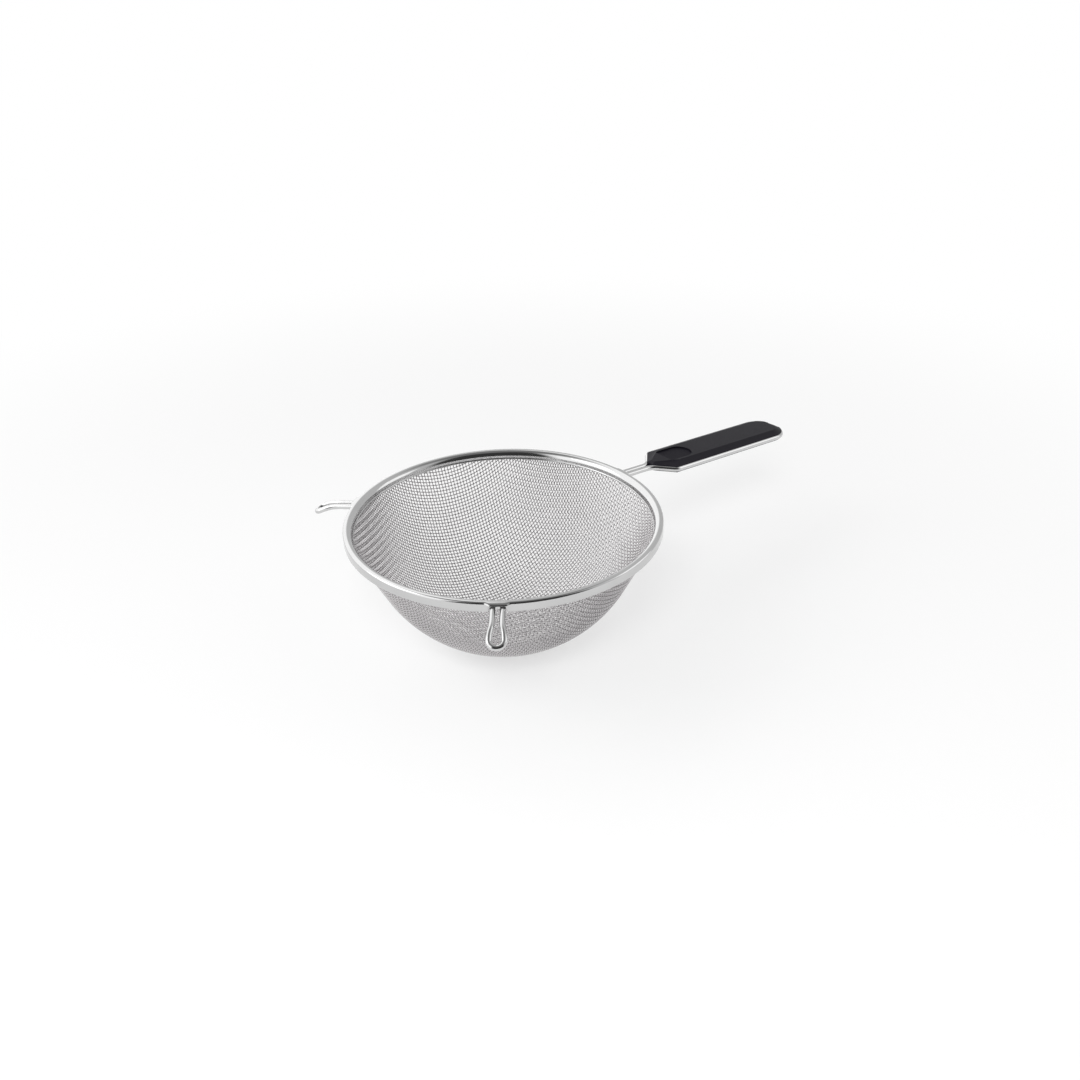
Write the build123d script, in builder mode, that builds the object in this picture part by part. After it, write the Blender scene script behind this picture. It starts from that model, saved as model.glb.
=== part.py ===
from build123d import *
import os
from math import acos, atan2, cos, hypot, isclose, radians, sin, sqrt, tan

# Bowl-shaped wire strainer with a wire handle, a plastic grip and two rest hooks.
# Millimetres. The origin is the centre of the mouth, in the plane of the rim's top.
# +Z is up out of the mouth, the handle runs towards +X, and the hooks lie either side of -X.

# Rim: a strip of sheet metal bent to an inverted U
rim_outer_radius = 100.0
rim_width = 6.0
rim_height = 5.9
rim_sheet = 0.6
rim_outer_shoulder = 1.5
rim_inner_shoulder = 3.0
rim_hem_thickness = 1.0
rim_hem_height = 0.9

# Hoop inside the rim, and the depth below the rim's top at which every wire lies
hoop_wire_diameter = 3.4
hoop_clearance = 0.1
wire_depth = 3.4

# Woven bowl, as a thin shell as thick as the cloth, with a coarse grid in place of the weave
cloth_thickness = 1.1
cloth_clearance = 0.1
bowl_taper = 6.25
bowl_centre_height = 1.4
collar_drop = 0.4
grid_opening = 12.0
grid_bar = 3.6
grid_count = 12
grid_angle = -10.0
grid_top = 14.0

# Where wires leave the rim, the outer wall is notched and its shoulder is pressed out over them
notch_clearance = 0.6
notch_top_clearance = 0.1
hood_reach = 1.6
hood_taper = 2.4
weld_clearance = 0.05

# Rest hooks
hook_wire_diameter = 3.4
hook_angle = 52.0
hook_waist_spacing = 5.7
hook_mouth_spacing = 8.4
hook_leg_length = 11.7
hook_root_fall = 5.7
hook_bend_radius = 36.0
hook_bend_angle = 21.2

# Handle wire, with lengths measured from the rim's outer wall
handle_wire_diameter = 3.6
handle_fall = 3.4
handle_length = 156.4
neck_gap = 0.6
neck_length = 20.0
neck_bend_radius = 12.0
spread_angle = 47.0
shoulder_bend_radius = 5.0
frame_width = 33.2

# Grip, in the handle's own plane, with lengths measured from the rim's outer wall
grip_nose = 25.3
grip_nose_width = 6.0
grip_overhang = 0.5
grip_edge_height = 2.2
grip_edge_depth = 2.2
grip_edge_round = 0.5
groove_clearance = 0.1

# Flat top of the upper half, and the short ridge that joins it to the nose
top_height = 4.4
top_front = 39.5
top_front_taper = 1.1
top_front_length = 4.0
top_width = 20.6
ridge_share = 0.5
ridge_setback = 2.7
ridge_width = 3.0

# Flat bottom of the lower half
bottom_depth = 4.4
bottom_front = 41.0
bottom_front_taper = 2.5
bottom_front_length = 5.0
bottom_width = 18.0

# Thumb scoop in the upper half
scoop_setback = 1.3
scoop_length = 24.0
scoop_margin = 0.6
scoop_depth = 0.9

# Slot through the grip's tip, where the bare wire makes a hanging eye
eye_width = 11.0
eye_gap = 3.9
eye_corner_radius = 1.5

# Hollow inside both halves, and the pins that press one half into the other
grip_wall = 2.0
grip_side_wall = 3.0
hollow_corner_radius = 2.0
pin_diameter = 3.0
pin_length = 2.0
pin_clearance = 0.05
pin_end_clearance = 0.3
pin_boss_diameter = 6.4
pin_boss_root = 1.0
pin_margin = 8.0
pin_count = 3

# One overrun for every cut that leaves a solid, and how far edges at one height may lie from it
overrun = 5.0
level_share = 0.001

# Sizes that follow from the ones above
rim_inner_radius = rim_outer_radius - rim_width
hoop_wire_radius = hoop_wire_diameter / 2
hoop_radius = rim_outer_radius - rim_sheet - hoop_clearance - hoop_wire_radius
weld_radius = hoop_radius + hoop_wire_radius + weld_clearance
collar_radius = rim_inner_radius + rim_sheet + cloth_clearance + cloth_thickness / 2
collar_top = -rim_inner_shoulder
collar_foot = -rim_height - collar_drop
bowl_radius = collar_radius - bowl_taper
grid_pitch = grid_opening + grid_bar
hook_wire_radius = hook_wire_diameter / 2
handle_wire_radius = handle_wire_diameter / 2
neck_half = handle_wire_radius + neck_gap / 2
frame_half = frame_width / 2 - handle_wire_radius
frame_end = handle_length - handle_wire_radius - frame_half
spread = radians(spread_angle)
groove_radius = handle_wire_radius + groove_clearance
grip_width = 2 * (frame_half + grip_overhang)
eye_start = frame_end + frame_half - handle_wire_radius - eye_gap
top_shoulder = top_front + top_front_length
top_front_width = top_width - 2 * top_front_taper
bottom_shoulder = bottom_front + bottom_front_length
bottom_front_width = bottom_width - 2 * bottom_front_taper
scoop_front = top_front - scoop_setback
scoop_end = scoop_front + scoop_length
scoop_width = top_front_width - 2 * scoop_margin

# The handle's own plane: x along the handle from the rim, y across it, z up from the wire's axis
fall = radians(handle_fall)
handle_plane = Plane(
    origin=(rim_outer_radius, 0, -wire_depth),
    x_dir=(cos(fall), 0, -sin(fall)),
    z_dir=(sin(fall), 0, cos(fall)),
)
weld_start = weld_radius - rim_outer_radius


def turned(angle):
    """A plane through the origin, turned about the bowl's axis."""
    return Plane.XY.rotated((0, 0, angle))


def cloth_outline(shift, top):
    """Half section of the space that the bowl's cloth encloses, moved out by shift from its middle."""
    radius = bowl_radius + shift
    side = collar_radius + shift
    drop = bowl_centre_height - collar_foot
    lean = atan2(drop, collar_radius) + acos(bowl_radius / hypot(drop, collar_radius))
    halfway = (radians(90) + lean) / 2
    touch = (radius * cos(lean), bowl_centre_height - radius * sin(lean))
    middle = (radius * cos(halfway), bowl_centre_height - radius * sin(halfway))
    bottom = (0, bowl_centre_height - radius)
    kink = (side, touch[1] + (side - touch[0]) / tan(lean))
    with BuildSketch(Plane.XZ) as outline:
        with BuildLine():
            Polyline((0, top), (side, top), kink, touch)
            ThreePointArc(touch, middle, bottom)
            Line(bottom, (0, top))
        make_face()
    return outline.sketch


def exit_hood(wires_half, notch_top, angle):
    """The shoulder pressed out over wires that leave the rim, tapering into it at both ends."""
    crest = rim_outer_radius - rim_outer_shoulder
    sunk = rim_outer_radius - rim_sheet / 2
    full = rim_outer_radius + hood_reach
    end = wires_half + hood_taper
    with BuildPart(mode=Mode.PRIVATE) as hood:
        for place, edge in ((-end, sunk), (-wires_half, full), (wires_half, full), (end, sunk)):
            with BuildSketch(Plane.XZ.offset(-place)):
                with BuildLine():
                    TangentArc((crest, 0), (edge, notch_top), tangent=(1, 0))
                    Polyline((edge, notch_top), (crest, notch_top), (crest, 0))
                make_face()
        loft(ruled=True)
    return turned(angle) * hood.part


def exit_notch(wires_half, notch_top, angle):
    """The notch in the rim's outer wall that wires pass through."""
    half = wires_half + notch_clearance
    with BuildPart(mode=Mode.PRIVATE) as notch:
        with BuildSketch(Plane.YZ.offset(hoop_radius)):
            with BuildLine():
                Polyline(
                    (-half, -rim_height - overrun),
                    (-half, notch_top),
                    (half, notch_top),
                    (half, -rim_height - overrun),
                    close=True,
                )
            make_face()
        extrude(amount=rim_width + overrun)
    return turned(angle) * notch.part


def finish(solid, name):
    """Label a finished piece and write it."""
    solid.label = name
    export_step(solid, f"parts/{name}.step")


os.makedirs("parts", exist_ok=True)

# Woven bowl: a collar inside the rim, a flared wall and a round bottom, opened by the grid
with BuildPart() as mesh_bowl:
    add(cloth_outline(cloth_thickness / 2, collar_top))
    revolve(axis=Axis.Z)
    add(cloth_outline(-cloth_thickness / 2, collar_top + overrun))
    revolve(axis=Axis.Z, mode=Mode.SUBTRACT)
    with BuildSketch(turned(grid_angle).offset(-grid_top)):
        with GridLocations(grid_pitch, grid_pitch, grid_count, grid_count):
            Rectangle(grid_opening, grid_opening)
    extrude(amount=-bowl_radius - overrun, mode=Mode.SUBTRACT)
finish(mesh_bowl.part, "mesh_bowl")

# Rim hoop: a round wire, closed into a ring inside the rim
with BuildPart() as rim_hoop:
    with BuildSketch(Plane.XZ):
        with Locations((hoop_radius, -wire_depth)):
            Circle(hoop_wire_radius)
    revolve(axis=Axis.Z)
finish(rim_hoop.part, "rim_hoop")

# Rim band: the bent strip, its inner edge rolled back, and three places where wires leave it.
# It is revolved from the YZ plane, where no wire leaves it.
hook_exit = hook_waist_spacing / 2 + hook_wire_radius
handle_exit = neck_half + handle_wire_radius
exits = [
    (hook_exit, hook_wire_radius, 180 - hook_angle),
    (hook_exit, hook_wire_radius, 180 + hook_angle),
    (handle_exit, handle_wire_radius, 0),
]
with BuildPart() as rim_band:
    with BuildSketch(Plane.YZ):
        with BuildLine():
            FilletPolyline(
                (rim_inner_radius, -rim_height),
                (rim_inner_radius, 0),
                (rim_outer_radius, 0),
                (rim_outer_radius, -rim_height),
                radius=[rim_inner_shoulder, rim_outer_shoulder],
            )
            offset(amount=rim_sheet, side=Side.RIGHT)
        make_face()
        with Locations((rim_inner_radius + rim_sheet, -rim_height)):
            Rectangle(rim_hem_thickness, rim_hem_height, align=(Align.MAX, Align.MIN))
    revolve(axis=Axis.Z)
    for wires_half, wire_radius, angle in exits:
        notch_top = -wire_depth + wire_radius + notch_top_clearance
        add(exit_hood(wires_half, notch_top, angle))
        add(exit_notch(wires_half, notch_top, angle), mode=Mode.SUBTRACT)
finish(rim_band.part, "rim_band")


def hook_leg(side, angle):
    """Points and directions of one leg: the root, the end of the straight waist and the mouth."""
    first = radians(hook_root_fall)
    last = radians(hook_root_fall + hook_bend_angle)
    straight = Vector(cos(first), 0, -sin(first))
    steep = Vector(cos(last), 0, -sin(last))
    root = Vector(weld_radius, side * hook_waist_spacing / 2, -wire_depth)
    waist = root + straight * hook_leg_length
    mouth = Vector(
        waist.X + hook_bend_radius * (sin(last) - sin(first)),
        side * hook_mouth_spacing / 2,
        waist.Z - hook_bend_radius * (cos(first) - cos(last)),
    )
    return [item.rotate(Axis.Z, angle) for item in (root, waist, mouth, straight, steep)]


def bend_between(start, end, start_dir, end_dir):
    """Handle length of the pair of arcs that joins two points along two directions."""
    reach = end - start
    along = reach.dot(start_dir + end_dir)
    slack = 2 * (1 - start_dir.dot(end_dir))
    return (sqrt(along**2 + slack * reach.dot(reach)) - along) / slack


# Rest hooks: bent wires with a straight waist, a wider loop and a downward bend
for name, angle in (("rest_hook_right", 180 - hook_angle), ("rest_hook_left", 180 + hook_angle)):
    with BuildPart() as rest_hook:
        with BuildLine() as hook_path:
            mouths = []
            for side in (-1, 1):
                root, waist, mouth, straight, steep = hook_leg(side, angle)
                handle = bend_between(waist, mouth, straight, steep)
                near = waist + straight * handle
                far = mouth - steep * handle
                Line(root, waist)
                TangentArc(waist, (near + far) / 2, tangent=straight)
                TangentArc((near + far) / 2, mouth, tangent=far - near)
                mouths.append(mouth)
            tip = (mouths[0] + mouths[1] + steep * hook_mouth_spacing) / 2
            ThreePointArc(mouths[0], tip, mouths[1])
        wire = hook_path.wire()
        with BuildSketch(Plane(origin=wire @ 0, z_dir=wire % 0)):
            Circle(hook_wire_radius)
        sweep(path=wire)
    finish(rest_hook.part, name)

# Handle frame: one wire, with a narrow neck, a spread and a long loop
first_corner = neck_length + neck_bend_radius * tan(spread / 2)
second_corner = first_corner + (frame_half - neck_half) / tan(spread)


def handle_wire(radius, start):
    """The handle's wire as a round bar of any radius, from this far along the handle."""
    with BuildPart(mode=Mode.PRIVATE) as bar:
        with BuildLine(handle_plane) as path:
            for side in (-1, 1):
                corners = [
                    (start, side * neck_half),
                    (first_corner, side * neck_half),
                    (second_corner, side * frame_half),
                    (frame_end, side * frame_half),
                ]
                FilletPolyline(*corners, radius=[neck_bend_radius, shoulder_bend_radius])
            ThreePointArc(
                (frame_end, -frame_half),
                (frame_end + frame_half, 0),
                (frame_end, frame_half),
            )
        wire = path.wire()
        with BuildSketch(Plane(origin=wire @ 0, z_dir=wire % 0)):
            Circle(radius)
        sweep(path=wire)
    return bar.part


with BuildPart() as handle_frame:
    add(handle_wire(handle_wire_radius, weld_start))
finish(handle_frame.part, "handle_frame")


def grip_outline(height, front, front_width, shoulder, width):
    """Outline of the grip at one height: a pointed front, straight sides and a round tip."""
    half = width / 2
    with BuildSketch(handle_plane.offset(height)) as outline:
        with BuildLine():
            Polyline(
                (frame_end, half),
                (shoulder, half),
                (front, front_width / 2),
                (front, -front_width / 2),
                (shoulder, -half),
                (frame_end, -half),
            )
            ThreePointArc((frame_end, -half), (frame_end + half, 0), (frame_end, half))
        make_face()
    return outline.sketch


def edge_outline(height):
    """Outline of the grip where its two halves meet, which is upright as far as this height."""
    return grip_outline(height, grip_nose, grip_nose_width, second_corner, grip_width)


def grip_slot(start, end, width, height, radius):
    """Block with rounded corners, to cut from the grip between two places along it."""
    with BuildPart(mode=Mode.PRIVATE) as block:
        with BuildSketch(handle_plane):
            with Locations(((start + end) / 2, 0)):
                RectangleRounded(end - start, width, radius=radius)
        extrude(amount=height)
    return block.part


def grip_hollow(height):
    """Hollow inside one half of the grip, from the joint to this height."""
    width = 2 * (frame_half - groove_radius - grip_side_wall)
    end = eye_start - grip_side_wall
    return grip_slot(bottom_shoulder, end, width, height, hollow_corner_radius)


def hanging_eye(height):
    """Slot through one half of the grip's tip, as far as this height."""
    end = handle_length + overrun
    return grip_slot(eye_start, end, eye_width, height, eye_corner_radius)


def scoop():
    """Thumb scoop: a shallow slot with a round end, open through the grip's front slope."""
    half_width = scoop_width / 2
    with BuildPart(mode=Mode.PRIVATE) as dish:
        with BuildSketch(handle_plane.offset(top_height - scoop_depth)):
            with BuildLine():
                Polyline(
                    (scoop_end - half_width, half_width),
                    (scoop_front, half_width),
                    (scoop_front, -half_width),
                    (scoop_end - half_width, -half_width),
                )
                ThreePointArc(
                    (scoop_end - half_width, -half_width),
                    (scoop_end, 0),
                    (scoop_end - half_width, half_width),
                )
            make_face()
        extrude(amount=scoop_depth + overrun)
    return dish.part


def pin_places():
    """Places of the pins along the middle of the grip."""
    first = bottom_shoulder + pin_margin
    pitch = (eye_start - grip_side_wall - pin_margin - first) / (pin_count - 1)
    return [(first + pitch * index, 0) for index in range(pin_count)]


def edges_at(part, height):
    """Edges of a grip half that lie at this height above the handle's own plane."""
    def is_level(edge):
        return isclose(handle_plane.to_local_coords(edge.center()).Z, height, rel_tol=level_share)
    return part.edges().filter_by(is_level)


upper_hollow = top_height - scoop_depth - grip_wall
lower_hollow = bottom_depth - grip_wall
groove = handle_wire(groove_radius, 0)

# The ridge stands on the slopes between the grip's edge and its flat top
ridge_front = grip_nose + ridge_setback
ridge_height = grip_edge_height + ridge_share * (top_height - grip_edge_height)
ridge_shoulder = second_corner + ridge_share * (top_shoulder - second_corner)
ridge_side = grip_width + ridge_share * (top_width - grip_width)

# Upper half of the grip, with the thumb scoop and the pins
with BuildPart() as grip_upper:
    add(edge_outline(0))
    add(edge_outline(grip_edge_height))
    add(grip_outline(ridge_height, ridge_front, ridge_width, ridge_shoulder, ridge_side))
    add(grip_outline(top_height, top_front, top_front_width, top_shoulder, top_width))
    loft(ruled=True)
    fillet(edges_at(grip_upper, top_height), radius=grip_edge_round)
    fillet(edges_at(grip_upper, grip_edge_height), radius=grip_edge_round)
    add(groove, mode=Mode.SUBTRACT)
    add(scoop(), mode=Mode.SUBTRACT)
    add(hanging_eye(top_height + overrun), mode=Mode.SUBTRACT)
    add(grip_hollow(upper_hollow), mode=Mode.SUBTRACT)
    with BuildSketch(handle_plane):
        with Locations(*pin_places()):
            Circle(pin_boss_diameter / 2)
    extrude(amount=upper_hollow + pin_boss_root)
    with BuildSketch(handle_plane.offset(upper_hollow)):
        with Locations(*pin_places()):
            Circle(pin_diameter / 2)
    extrude(amount=-upper_hollow - pin_length)
finish(grip_upper.part, "grip_upper")

# Lower half of the grip, with sockets for the pins
with BuildPart() as grip_lower:
    add(edge_outline(0))
    add(edge_outline(-grip_edge_depth))
    add(grip_outline(-bottom_depth, bottom_front, bottom_front_width, bottom_shoulder, bottom_width))
    loft(ruled=True)
    fillet(edges_at(grip_lower, -bottom_depth), radius=grip_edge_round)
    fillet(edges_at(grip_lower, -grip_edge_depth), radius=grip_edge_round)
    add(groove, mode=Mode.SUBTRACT)
    add(hanging_eye(-bottom_depth - overrun), mode=Mode.SUBTRACT)
    add(grip_hollow(-lower_hollow), mode=Mode.SUBTRACT)
    with BuildSketch(handle_plane):
        with Locations(*pin_places()):
            Circle(pin_boss_diameter / 2)
    extrude(amount=-lower_hollow - pin_boss_root)
    with BuildSketch(handle_plane):
        with Locations(*pin_places()):
            Circle(pin_diameter / 2 + pin_clearance)
    extrude(amount=-pin_length - pin_end_clearance, mode=Mode.SUBTRACT)
finish(grip_lower.part, "grip_lower")
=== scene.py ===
from math import acos, atan2, cos, hypot, pi, radians, sin

import bpy
import numpy as np
from mathutils import Matrix, Vector


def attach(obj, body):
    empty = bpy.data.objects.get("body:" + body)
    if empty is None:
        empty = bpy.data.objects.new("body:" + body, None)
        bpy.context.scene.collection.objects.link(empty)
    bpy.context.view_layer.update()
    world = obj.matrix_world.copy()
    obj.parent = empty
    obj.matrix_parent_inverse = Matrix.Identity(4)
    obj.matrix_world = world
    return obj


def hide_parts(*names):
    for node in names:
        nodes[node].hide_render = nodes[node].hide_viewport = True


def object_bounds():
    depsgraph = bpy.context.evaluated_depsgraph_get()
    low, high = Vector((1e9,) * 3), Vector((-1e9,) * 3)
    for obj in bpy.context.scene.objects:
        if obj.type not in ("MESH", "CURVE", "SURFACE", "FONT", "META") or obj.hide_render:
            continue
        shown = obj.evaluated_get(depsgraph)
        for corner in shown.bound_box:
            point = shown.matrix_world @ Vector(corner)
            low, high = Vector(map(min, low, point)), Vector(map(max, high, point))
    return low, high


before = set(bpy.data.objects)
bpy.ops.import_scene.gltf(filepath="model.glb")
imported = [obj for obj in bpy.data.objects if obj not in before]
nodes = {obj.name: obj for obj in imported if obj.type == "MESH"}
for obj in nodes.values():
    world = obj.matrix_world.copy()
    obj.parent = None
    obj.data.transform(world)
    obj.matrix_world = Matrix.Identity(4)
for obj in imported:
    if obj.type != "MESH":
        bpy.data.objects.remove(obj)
cad_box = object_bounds()

MM = 0.001

# Small enough to count as nothing, for a length and for a determinant, and what keeps the latter solvable
tiny = 1e-9
flat_limit = 1e-6
flat_nudge = 1e-3

# Camera: where it stands in a frame with x to the right, y away from it and z up, on the bowl's axis
handle_azimuth = 34.95
camera_distance = 650 * MM
camera_elevation = 28.45
camera_pan = -1.96
camera_tilt = -1.45
camera_roll = 2.4
camera_clip_start = 10 * MM
focal_pixels = 1035.23
image_pixels = 1080
sensor_width = 36.0

# Woven cloth: a plain weave of round wires, drawn to the bowl's shape without stretching a wire
cloth_wire_diameter = 0.66 * MM
cloth_wire_rise = 0.30 * MM
cloth_pitch = 2.27 * MM
cloth_turn = -10.0
bowl_radius = 88.92 * MM
bowl_centre_height = 1.4 * MM
collar_radius = 95.25 * MM
collar_foot = -6.3 * MM
cloth_top = -3.6 * MM
wire_sides = 6
steps_per_crossing = 3
pieces_each_way = 4

# Search for the crossings: steps taken, the miss allowed, how close two corners of a cell may come,
# the greatest height, and the crossings looked for beyond the count that the bowl needs
newton_steps = 12
crossing_miss = cloth_pitch / 1000
crossing_least = cloth_pitch / 10
crossing_top = -collar_foot
spare_crossings = 4

# Rim: the bent strip's section, which bulges out and is cut short where wires leave it, and its mesh
rim_outer_radius = 100.0 * MM
rim_inner_radius = 94.0 * MM
rim_height = 5.9 * MM
rim_sheet = 0.6 * MM
rim_outer_shoulder = 1.5 * MM
rim_inner_shoulder = 4.0 * MM
rim_hem_reach = 0.4 * MM
rim_hem_height = 0.9 * MM
rim_edge_round = 0.12 * MM
hood_reach = 1.6 * MM
hood_taper = 3.2 * MM
notch_clearance = 0.6 * MM
notch_corner = 0.25 * MM
rim_steps = 720
exit_steps = 160
shoulder_steps = 10
wall_shares = (0.25, 0.5, 0.75)
hem_turn = 75
angle_digits = 6

# Where wires leave the rim: the angle from the handle, and half the width of the wires there
hook_angle = 52
neck_half_width = 3.9 * MM
hook_half_width = 4.55 * MM
exits = ((0, neck_half_width), (180 - hook_angle, hook_half_width), (180 + hook_angle, hook_half_width))

# Handle's own plane, where it starts and how it falls away, and the thumb scoop's place on it, which also
# bounds the scoop's painted shade
handle_depth = 3.4 * MM
handle_origin = (rim_outer_radius, 0, -handle_depth)
fall = radians(3.4)
scoop_start = 38.2 * MM
scoop_end = 62.5 * MM
scoop_half_width = 8.7 * MM
scoop_level = 3.7 * MM

# Studio: the floor, how light the surround is in each direction, and the borders between, in degrees
floor_radius = 6.0
floor_sides = 96
floor_fade_start = 0.25
floor_fade_end = 0.9
floor_glow_share = 0.5
floor_level = 0.90
left_level = 1.5
right_level = 0.72
top_level = 0.26
dark_level = 0.05
dark_middle = 8.0
dark_half_angle = 48.0
dark_soft_angle = 8.0
dark_top = 76.0
split_angle = 2.5
split_soft_angle = 4.0
top_start = 60.0
top_soft = 12.0
least_level = 0.001

# Lamps: where they stand, seen from the camera's side, how wide they are and how strong
key_place = (-1.1, 0.0, 0.8)
fill_place = (1.1, 0.1, 0.5)
front_place = (-0.15, -1.0, 0.9)
side_lamp_width = 0.7
front_lamp_width = 0.5
key_power = 3.0
fill_power = 1.2
front_power = 9.0

# Materials: noise, bumps, colours, roughness and gloss, and the angle from which an edge stays sharp
noise_low = 0.3
noise_high = 0.7
fine_detail = 3.0
steel_patches = 60.0
steel_bump_height = 0.05 * MM
plastic_patches = 90.0
plastic_pits = 2600.0
plastic_bump = 0.25
plastic_bump_height = 0.06 * MM
plastic_dark = (0.0075, 0.0065, 0.0105, 1)
plastic_light = (0.0105, 0.0095, 0.0145, 1)
plastic_smooth = 0.42
plastic_rough = 0.56
plastic_gloss = 0.15
# Gloss in the thumb scoop, lowered to paint shade into the recess
scoop_shade_gloss = 0.05
cloth_tint = (1.0, 0.975, 0.985)
wire_sharp_angle = 50
plastic_sharp_angle = 25


def studio(x, y, z):
    """A place or direction seen from the camera's side (x right, y away, z up), in the part's frame."""
    return Matrix.Rotation(-radians(handle_azimuth), 3, "Z") @ Vector((x, y, z))


def add_camera():
    """The camera that the photograph was taken from."""
    elevation = radians(camera_elevation)
    right = Vector((1, 0, 0))
    up = Vector((0, sin(elevation), cos(elevation)))
    ahead = Vector((0, cos(elevation), -sin(elevation)))
    aim = (
        Matrix.Rotation(radians(camera_roll), 3, "Z")
        @ Matrix.Rotation(radians(camera_tilt), 3, "X")
        @ Matrix.Rotation(radians(camera_pan), 3, "Y")
        @ Matrix((right, up, ahead))
    )
    right, up, ahead = (studio(*row) for row in aim)
    pose = Matrix((right, up, -ahead)).transposed().to_4x4()
    pose.translation = studio(0, -camera_distance * cos(elevation), camera_distance * sin(elevation))
    data = bpy.data.cameras.new("camera")
    data.sensor_width = sensor_width
    data.lens = sensor_width * focal_pixels / image_pixels
    data.clip_start = camera_clip_start
    camera = bpy.data.objects.new("camera", data)
    camera.matrix_world = pose
    bpy.context.scene.collection.objects.link(camera)
    bpy.context.scene.camera = camera


class Tree:
    """A node tree with short ways to add nodes and link them."""

    def __init__(self, tree):
        self.tree = tree
        tree.nodes.clear()

    def add(self, kind, inputs=None, **settings):
        node = self.tree.nodes.new("ShaderNode" + kind)
        for name, value in settings.items():
            setattr(node, name, value)
        for name, value in (inputs or {}).items():
            if isinstance(value, bpy.types.NodeSocket):
                self.tree.links.new(value, node.inputs[name])
            else:
                node.inputs[name].default_value = value
        return node

    def math(self, operation, *values):
        return self.add("Math", dict(enumerate(values)), operation=operation).outputs[0]

    def dot(self, first, second):
        return self.add("VectorMath", {0: first, 1: second}, operation="DOT_PRODUCT").outputs["Value"]

    def ramp(self, value, start, end, low=0.0, high=1.0):
        """A smooth step of value from low at start to high at end."""
        sockets = {"Value": value, "From Min": start, "From Max": end, "To Min": low, "To Max": high}
        return self.add("MapRange", sockets, interpolation_type="SMOOTHSTEP").outputs["Result"]

    def noise(self, vector, scale, detail=2.0):
        return self.add("TexNoise", {"Vector": vector, "Scale": scale, "Detail": detail}).outputs["Fac"]

    def mix(self, factor, first, second):
        return self.add("Mix", {0: factor, 6: first, 7: second}, data_type="RGBA").outputs[2]


def grey(level, tint=(1, 1, 1)):
    """A grey of the given level, which may be tinted a little."""
    return (*(level * share for share in tint), 1)


def build_world():
    """A pale studio all round, dark only behind the camera, and plain white where the camera sees it."""
    world = bpy.data.worlds.new("studio")
    bpy.context.scene.world = world
    world.use_nodes = True
    tree = Tree(world.node_tree)
    direction = tree.add("TexCoord").outputs["Generated"]
    height = tree.add("SeparateXYZ", {"Vector": direction}).outputs["Z"]
    level = tree.math("SQRT", tree.math("SUBTRACT", 1.0, tree.math("MULTIPLY", height, height)))

    def facing(target):
        """Cosine of the angle, seen from above, between the direction and a target."""
        return tree.math("DIVIDE", tree.dot(direction, target), tree.math("MAXIMUM", level, least_level))

    def band(value, middle, soft):
        """Steps from 0 to 1 round an angle, for a value that is the angle's sine."""
        return tree.ramp(value, sin(radians(middle - soft)), sin(radians(middle + soft)))

    left = band(facing(studio(-1, 0, 0)), split_angle, split_soft_angle)
    sides = tree.mix(left, grey(right_level), grey(left_level))
    dark_way = studio(sin(radians(dark_middle)), -cos(radians(dark_middle)), 0)
    near_camera = band(facing(dark_way), 90 - dark_half_angle, dark_soft_angle)
    low = tree.math("SUBTRACT", 1.0, band(height, dark_top, top_soft))
    dark = tree.math("MULTIPLY", near_camera, low)
    lit = tree.mix(band(height, top_start, top_soft), sides, grey(top_level))
    colour = tree.mix(dark, lit, grey(dark_level))
    seen = tree.add("LightPath").outputs["Is Camera Ray"]
    background = tree.add("Background", {"Color": tree.mix(seen, colour, grey(1.0))})
    tree.add("OutputWorld", {"Surface": background.outputs[0]})


def add_floor(height):
    """A wide round floor that keeps the shadow near the object and fades to plain white."""
    mesh = bpy.data.meshes.new("floor")
    turns = [2 * pi * k / floor_sides for k in range(floor_sides)]
    edge = [(floor_radius * cos(turn), floor_radius * sin(turn), height) for turn in turns]
    mesh.from_pydata(edge, [], [tuple(range(floor_sides))])
    floor = bpy.data.objects.new("floor", mesh)
    bpy.context.scene.collection.objects.link(floor)
    material = bpy.data.materials.new("floor")
    material.use_nodes = True
    tree = Tree(material.node_tree)
    place = tree.add("TexCoord").outputs["Object"]
    distance = tree.add("VectorMath", {0: place}, operation="LENGTH").outputs["Value"]
    glow = tree.ramp(distance, floor_fade_start, floor_fade_end, floor_glow_share, 1.0)
    matt = tree.add("BsdfDiffuse", {"Color": grey(floor_level)}).outputs[0]
    white = tree.add("Emission", {"Color": grey(1.0), "Strength": 1.0}).outputs[0]
    surface = tree.add("MixShader", {0: glow, 1: matt, 2: white}).outputs[0]
    tree.add("OutputMaterial", {"Surface": surface})
    mesh.materials.append(material)


def add_light(name, place, width, power, mirrored=True):
    """A soft square lamp aimed at the middle of the object, which need not show in polished metal."""
    data = bpy.data.lights.new(name, "AREA")
    data.shape = "SQUARE"
    data.size = width
    data.energy = power
    lamp = bpy.data.objects.new(name, data)
    lamp.visible_glossy = mirrored
    lamp.location = studio(*place)
    lamp.rotation_euler = (-lamp.location).to_track_quat("-Z", "Y").to_euler()
    bpy.context.scene.collection.objects.link(lamp)


# Profile of the bowl's middle surface: a round bottom, and a cone that touches it and ends at the collar
drop = bowl_centre_height - collar_foot
lean = atan2(drop, collar_radius) + acos(bowl_radius / hypot(drop, collar_radius))
touch_radius = bowl_radius * cos(lean)
touch_height = bowl_centre_height - bowl_radius * sin(lean)


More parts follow.
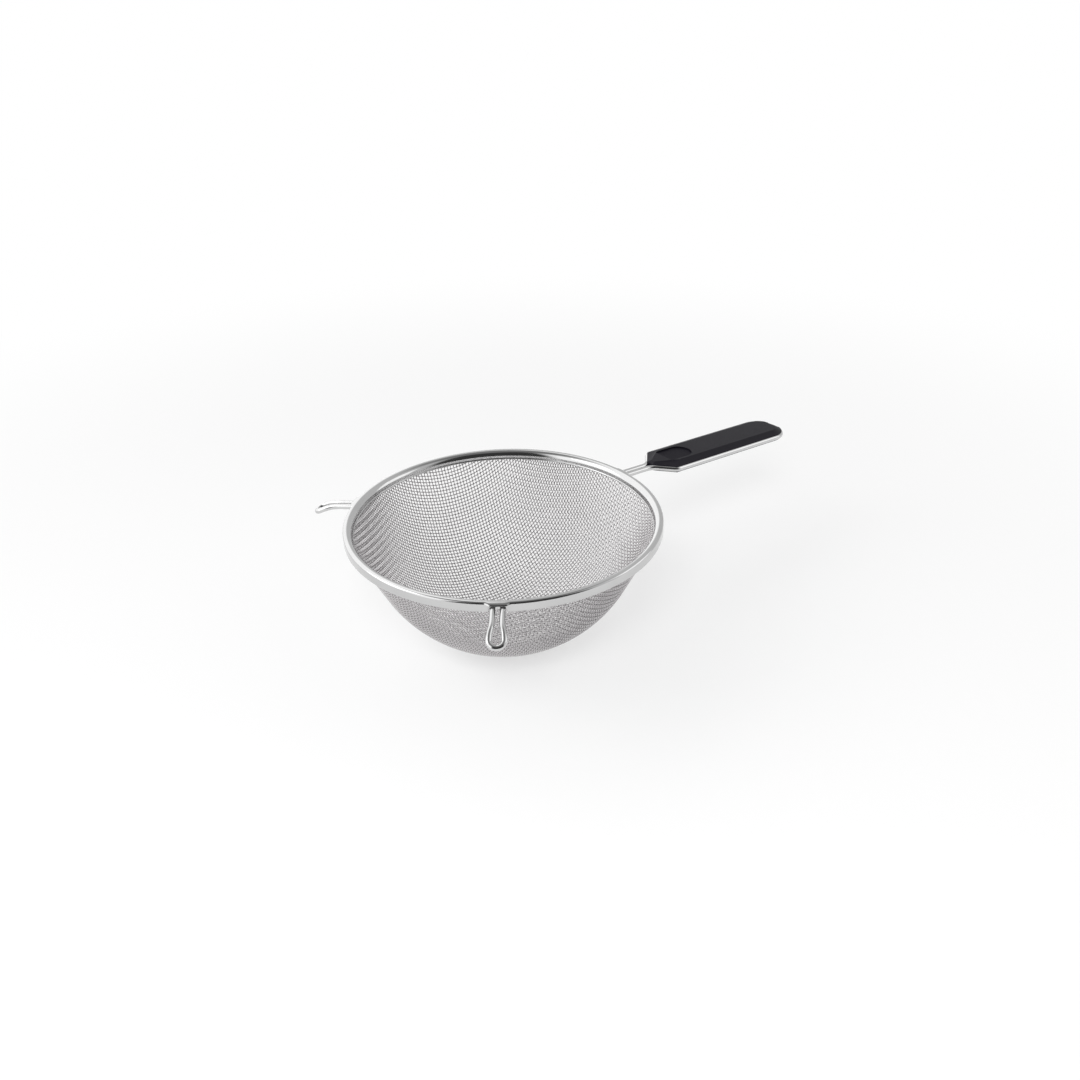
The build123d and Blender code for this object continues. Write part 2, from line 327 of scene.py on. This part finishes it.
def cloth_surface(points):
    """How far points lie outside the cloth's middle surface, and the surface's outward direction there."""
    radial = np.maximum(np.hypot(points[:, 0], points[:, 1]), tiny)
    flat = points[:, :2] / radial[:, None]
    rise = points[:, 2] - bowl_centre_height
    ball_distance = np.hypot(radial, rise)
    ball_normal = np.column_stack([points[:, :2], rise]) / ball_distance[:, None]
    cone_distance = (radial - touch_radius) * cos(lean) - (points[:, 2] - touch_height) * sin(lean)
    cone_normal = np.column_stack([flat * cos(lean), np.full(len(points), -sin(lean))])
    on_cone = points[:, 2] > touch_height
    distance = np.where(on_cone, cone_distance, ball_distance - bowl_radius)
    normal = np.where(on_cone[:, None], cone_normal, ball_normal)
    return distance, normal


def axis_points(count):
    """Points a pitch apart up the bowl's profile from its lowest point, as radius and height."""
    along = np.arange(count) * cloth_pitch
    round_angle = pi / 2 - lean
    angle = np.minimum(along / bowl_radius, round_angle)
    beyond = np.maximum(along - bowl_radius * round_angle, 0)
    radius = bowl_radius * np.sin(angle) + beyond * sin(lean)
    height = bowl_centre_height - bowl_radius * np.cos(angle) + beyond * cos(lean)
    return radius, height


def cloth_quarter(count):
    """Crossings of the wires over a quarter of the bowl: each is a pitch from the two before it."""
    grid = np.full((count, count, 3), np.nan)
    radius, height = axis_points(count)
    zero = np.zeros(count)
    grid[:, 0] = np.column_stack([radius, zero, height])
    grid[0, :] = np.column_stack([zero, radius, height])
    for diagonal in range(2, 2 * count - 1):
        first = np.arange(max(1, diagonal - count + 1), min(count - 1, diagonal - 1) + 1)
        second = diagonal - first
        before = grid[first - 1, second]
        beside = grid[first, second - 1]
        corner = grid[first - 1, second - 1]
        known = ~np.isnan(before[:, 0]) & ~np.isnan(beside[:, 0])
        if not known.any():
            break
        first, second, before, beside, corner = (
            item[known] for item in (first, second, before, beside, corner)
        )
        guess = before + beside - corner
        for _ in range(newton_steps):
            distance, normal = cloth_surface(guess)
            to_before, to_beside = guess - before, guess - beside
            misses = np.column_stack([
                distance,
                (np.einsum("ij,ij->i", to_before, to_before) / cloth_pitch - cloth_pitch) / 2,
                (np.einsum("ij,ij->i", to_beside, to_beside) / cloth_pitch - cloth_pitch) / 2,
            ])
            slopes = np.stack([normal, to_before / cloth_pitch, to_beside / cloth_pitch], axis=1)
            flat = np.abs(np.linalg.det(slopes)) < flat_limit
            slopes[flat] += np.eye(3) * flat_nudge
            guess = guess - np.linalg.solve(slopes, misses[:, :, None])[:, :, 0]
        off = np.abs(cloth_surface(guess)[0]) > crossing_miss
        stretched = np.abs(np.linalg.norm(guess - before, axis=1) - cloth_pitch) > crossing_miss
        folded = np.linalg.norm(guess - corner, axis=1) < crossing_least
        guess[off | stretched | folded | (guess[:, 2] > crossing_top)] = np.nan
        grid[first, second] = guess
    return grid


def cloth_grid():
    """Crossings of the wires over the whole bowl, from its quarter by mirroring."""
    reach = bowl_radius * (pi / 2 - lean) + (collar_radius - touch_radius) / sin(lean)
    count = int(reach / cloth_pitch) + spare_crossings
    quarter = cloth_quarter(count)
    half = np.concatenate([quarter[:0:-1] * (-1, 1, 1), quarter])
    whole = np.concatenate([half[:, :0:-1] * (1, -1, 1), half], axis=1)
    turn = radians(cloth_turn)
    spin = np.array([[cos(turn), -sin(turn), 0], [sin(turn), cos(turn), 0], [0, 0, 1]])
    return whole @ spin.T


def wire_line(crossings, sign):
    """Middle line of a wire that weaves over and under the wires it crosses, and its outward directions."""
    share = np.arange(steps_per_crossing) / steps_per_crossing
    start, end = crossings[:-1, None], crossings[1:, None]
    middle = (start + (end - start) * share[None, :, None]).reshape(-1, 3)
    middle = np.vstack([middle, crossings[-1]])
    normal = cloth_surface(middle)[1]
    phase = np.arange(len(middle)) * pi / steps_per_crossing
    lift = sign * cloth_wire_rise * np.cos(phase)
    line = middle + normal * lift[:, None]
    radial = np.maximum(np.hypot(line[:, 0], line[:, 1]), tiny)
    inside = np.minimum(radial, collar_radius + lift) / radial
    line[:, :2] *= np.where(line[:, 2] > collar_foot, inside, 1.0)[:, None]
    return line, normal


def clip_line(line, normal):
    """The stretch of a wire that lies below the cloth's top edge, cut at that height at both ends."""
    below = np.flatnonzero(line[:, 2] < cloth_top)
    if len(below) < 2:
        return None
    first, last = below[0], below[-1]

    def cut(inner, outer):
        """The end at the top edge, between a point below it and the next, if the wire goes on there."""
        if not 0 <= outer < len(line):
            return []
        share = (cloth_top - line[inner, 2]) / (line[outer, 2] - line[inner, 2])
        return [line[inner] + (line[outer] - line[inner]) * share]

    start, end = cut(first, first - 1), cut(last, last + 1)
    points = np.vstack([*start, line[first:last + 1], *end])
    rows = [first] * len(start) + list(range(first, last + 1)) + [last] * len(end)
    return points, normal[rows]


def tube(line, normal, radius, sides):
    """Points and faces of a round closed tube along a line."""
    along = np.gradient(line, axis=0)
    along /= np.linalg.norm(along, axis=1)[:, None]
    across = np.cross(along, normal)
    across /= np.linalg.norm(across, axis=1)[:, None]
    out = np.cross(across, along)
    angle = 2 * pi * np.arange(sides) / sides
    ring = out[:, None] * np.cos(angle)[None, :, None] + across[:, None] * np.sin(angle)[None, :, None]
    points = (line[:, None] + ring * radius).reshape(-1, 3)
    rows = np.arange(len(line) - 1)[:, None] * sides
    here = np.arange(sides)[None]
    there = (here + 1) % sides
    walls = np.stack([rows + here, rows + there, rows + sides + there, rows + sides + here], axis=-1)
    last = (len(line) - 1) * sides
    caps = [np.arange(sides)[::-1], last + np.arange(sides)]
    return points, walls.reshape(-1, 4), caps


def mesh_object(name, surfaces):
    """One smooth object from closed surfaces, each as points, faces of four corners, and caps."""
    points, loops, sizes, offset = [], [], [], 0
    for spots, walls, caps in surfaces:
        points.append(spots)
        loops += [(walls + offset).ravel()] + [cap + offset for cap in caps]
        sizes += [np.full(len(walls), 4)] + [np.array([len(cap)]) for cap in caps]
        offset += len(spots)
    points, loops, sizes = np.concatenate(points), np.concatenate(loops), np.concatenate(sizes)
    mesh = bpy.data.meshes.new(name)
    mesh.vertices.add(len(points))
    mesh.vertices.foreach_set("co", points.astype(np.float32).ravel())
    mesh.loops.add(len(loops))
    mesh.loops.foreach_set("vertex_index", loops.astype(np.int32))
    mesh.polygons.add(len(sizes))
    mesh.polygons.foreach_set("loop_start", (np.cumsum(sizes) - sizes).astype(np.int32))
    mesh.polygons.foreach_set("loop_total", sizes.astype(np.int32))
    mesh.update(calc_edges=True)
    mesh.validate()
    mesh.shade_smooth()
    piece = bpy.data.objects.new(name, mesh)
    bpy.context.scene.collection.objects.link(piece)
    return piece


def weave(material):
    """The woven cloth: wires along the grid's rows and columns, in bands of neighbours."""
    grid = cloth_grid()
    for way, rows, sign in (("along", grid, 1), ("across", grid.transpose(1, 0, 2), -1)):
        tubes = []
        for index, row in enumerate(rows):
            known = np.flatnonzero(~np.isnan(row[:, 0]))
            if len(known) < 2:
                continue
            start, end = known[0], known[-1]
            parity = 1 if (start + index) % 2 == 0 else -1
            clipped = clip_line(*wire_line(row[start:end + 1], sign * parity))
            if clipped is not None:
                tubes.append(tube(*clipped, cloth_wire_diameter / 2, wire_sides))
        for band, chosen in enumerate(np.array_split(np.arange(len(tubes)), pieces_each_way), 1):
            piece = mesh_object(f"cloth_{way}_{band}", [tubes[k] for k in chosen])
            piece.data.materials.append(material)
            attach(piece, "root")
            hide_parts("mesh_bowl")


def smooth_step(value, start, end):
    """0 before start and 1 after end, with a smooth change between them."""
    share = np.clip((value - start) / (end - start), 0, 1)
    return share * share * (3 - 2 * share)


def rim_angles():
    """Angles round the rim, closer together where wires leave it."""
    angles = [np.linspace(0, 2 * pi, rim_steps, endpoint=False)]
    for degrees, half in exits:
        reach = (half + hood_taper) / rim_outer_radius
        angles.append(radians(degrees) + np.linspace(-reach, reach, exit_steps))
    return np.unique(np.round(np.concatenate(angles) % (2 * pi), angle_digits))


def rim_sections(angles):
    """Radius and height of the closed section at every angle."""
    bulge = np.zeros(len(angles))
    notch = np.zeros(len(angles))
    for degrees, half in exits:
        away = np.abs((angles - radians(degrees) + pi) % (2 * pi) - pi) * rim_outer_radius
        edge = half + notch_clearance
        bulge += 1 - smooth_step(away, half - notch_clearance, half + hood_taper)
        notch += 1 - smooth_step(away, edge - notch_corner, edge + notch_corner)
    reach = rim_outer_radius + hood_reach * bulge
    foot = -rim_height + (rim_height - rim_outer_shoulder - rim_edge_round) * notch
    rows = []

    def point(radius, height):
        """One point of the section, at every angle round the rim."""
        rows.append((np.broadcast_to(radius, bulge.shape), np.broadcast_to(height, bulge.shape)))

    def curve(radius, height, wide, high, start, end):
        """An arc of an ellipse round a centre, from one angle to another."""
        for angle in np.linspace(radians(start), radians(end), shoulder_steps):
            point(radius + wide * np.cos(angle), height + high * np.sin(angle))

    def wall(height):
        """The outer wall's radius at a height, which grows upwards where the rim bulges."""
        depth = (-rim_outer_shoulder - height) / (rim_height - rim_outer_shoulder)
        return rim_outer_radius + (reach - rim_outer_radius) * (1 - depth)

    hem_top = -rim_height + rim_hem_height
    inner_centre = rim_inner_radius + rim_inner_shoulder
    crest = rim_outer_radius - rim_outer_shoulder
    inner_bend = rim_inner_shoulder - rim_sheet
    outer_bend = rim_outer_shoulder - rim_sheet
    point(rim_inner_radius + rim_sheet, -rim_height)
    curve(rim_inner_radius, -rim_height + rim_hem_reach, -rim_hem_reach, -rim_hem_reach, 90, 0)
    curve(rim_inner_radius, hem_top - rim_hem_reach, -rim_hem_reach, rim_hem_reach, 0, hem_turn)
    point(rim_inner_radius, hem_top + rim_edge_round)
    curve(inner_centre, -rim_inner_shoulder, rim_inner_shoulder, rim_inner_shoulder, 180, 90)
    curve(crest, -rim_outer_shoulder, reach - crest, rim_outer_shoulder, 90, 0)
    for share in wall_shares:
        height = -rim_outer_shoulder + (foot + rim_outer_shoulder) * share
        point(wall(height), height)
    side = wall(foot)
    point(side, foot + rim_edge_round)
    point(side - rim_edge_round, foot)
    point(side - rim_sheet + rim_edge_round, foot)
    point(side - rim_sheet, foot + rim_edge_round)
    curve(crest, -rim_outer_shoulder, reach - rim_sheet - crest, outer_bend, 0, 90)
    curve(inner_centre, -rim_inner_shoulder, inner_bend, inner_bend, 90, 180)
    radius, height = (np.stack(item, axis=1) for item in zip(*rows))
    return radius, height


def add_rim(material):
    """The rim's bent strip as one closed smooth surface."""
    angles = rim_angles()
    radius, height = rim_sections(angles)
    points = np.stack([
        radius * np.cos(angles)[:, None],
        radius * np.sin(angles)[:, None],
        height,
    ], axis=-1)
    columns, rows = radius.shape
    column = np.arange(columns)[:, None]
    row = np.arange(rows)[None]
    next_column = (column + 1) % columns
    next_row = (row + 1) % rows
    corners = ((column, row), (column, next_row), (next_column, next_row), (next_column, row))
    faces = np.stack([a_column * rows + a_row for a_column, a_row in corners], axis=-1).reshape(-1, 4)
    piece = mesh_object("rim_strip", [(points.reshape(-1, 3), faces, [])])
    piece.data.materials.append(material)
    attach(piece, "root")
    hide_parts("rim_band")


def new_material(name):
    material = bpy.data.materials.new(name)
    material.use_nodes = True
    return material, Tree(material.node_tree)


def steel(name, dark, light, smooth, rough, grain, bump, stretch=(1, 1, 1), tint=(1, 1, 1)):
    """Stainless steel whose colour, roughness and surface vary, with a grain that may be stretched."""
    material, tree = new_material(name)
    place = tree.add("TexCoord").outputs["Object"]
    stretched = tree.add("Mapping", {"Vector": place, "Scale": stretch}).outputs["Vector"]
    fine = tree.noise(stretched, grain, fine_detail)
    broad = tree.noise(place, steel_patches)
    colour = tree.mix(broad, grey(dark, tint), grey(light, tint))
    roughness = tree.ramp(fine, noise_low, noise_high, smooth, rough)
    bumps = {"Height": fine, "Strength": bump, "Distance": steel_bump_height}
    height = tree.add("Bump", bumps).outputs["Normal"]
    surface = tree.add("BsdfPrincipled", {
        "Base Color": colour, "Metallic": 1.0, "Roughness": roughness, "Normal": height,
    })
    tree.add("OutputMaterial", {"Surface": surface.outputs[0]})
    return material


def plastic():
    """Black polypropylene with a fine moulded texture, and a lower gloss in the thumb scoop that paints
    shade into the recess.
    """
    material, tree = new_material("grip_plastic")
    place = tree.add("TexCoord").outputs["Object"]
    on_handle = tree.add("VectorMath", {0: place, 1: handle_origin}, operation="SUBTRACT").outputs[0]
    along = tree.dot(on_handle, (cos(fall), 0, -sin(fall)))
    across = tree.dot(on_handle, (0, 1, 0))
    up = tree.dot(on_handle, (sin(fall), 0, cos(fall)))
    # Mask of the thumb scoop, where a lower gloss paints shade into the recess
    inside = tree.math("LESS_THAN", tree.math("ABSOLUTE", across), scoop_half_width)
    for limit, operation, value in (
        (scoop_start, "GREATER_THAN", along),
        (scoop_end, "LESS_THAN", along),
        (scoop_level, "LESS_THAN", up),
    ):
        inside = tree.math("MULTIPLY", inside, tree.math(operation, value, limit))
    pits = tree.noise(place, plastic_pits, fine_detail)
    broad = tree.noise(place, plastic_patches)
    colour = tree.mix(broad, plastic_dark, plastic_light)
    roughness = tree.ramp(pits, noise_low, noise_high, plastic_smooth, plastic_rough)
    # Painted shade: the scoop's lower gloss darkens the recess
    gloss = tree.ramp(inside, 0.0, 1.0, plastic_gloss, scoop_shade_gloss)
    bumps = {"Height": pits, "Strength": plastic_bump, "Distance": plastic_bump_height}
    height = tree.add("Bump", bumps).outputs["Normal"]
    surface = tree.add("BsdfPrincipled", {
        "Base Color": colour, "Roughness": roughness, "Normal": height, "Specular IOR Level": gloss,
    })
    tree.add("OutputMaterial", {"Surface": surface.outputs[0]})
    return material


def dress(names, material, sharp_angle):
    """Give CAD nodes a material and smooth shading."""
    for name in names:
        mesh = nodes[name].data
        mesh.materials.clear()
        mesh.materials.append(material)
        mesh.shade_smooth()
        mesh.set_sharp_from_angle(angle=radians(sharp_angle))


add_camera()
build_world()
add_floor(cad_box[0].z)
add_light("key", key_place, side_lamp_width, key_power)
add_light("fill", fill_place, side_lamp_width, fill_power)
add_light("front", front_place, front_lamp_width, front_power, mirrored=False)

weave(steel(
    "wire_cloth", dark=0.54, light=0.62, smooth=0.14, rough=0.26, grain=900.0, bump=0.2, tint=cloth_tint,
))
add_rim(steel(
    "rim_steel", dark=0.54, light=0.62, smooth=0.08, rough=0.16, grain=400.0, bump=0.1, stretch=(1, 1, 4),
))
wire_steel = steel("steel_wire", dark=0.56, light=0.64, smooth=0.06, rough=0.14, grain=500.0, bump=0.1)
dress(["rim_hoop", "handle_frame", "rest_hook_left", "rest_hook_right"], wire_steel, wire_sharp_angle)
dress(["grip_upper", "grip_lower"], plastic(), plastic_sharp_angle)

scene = bpy.context.scene
scene.view_settings.view_transform = "Standard"
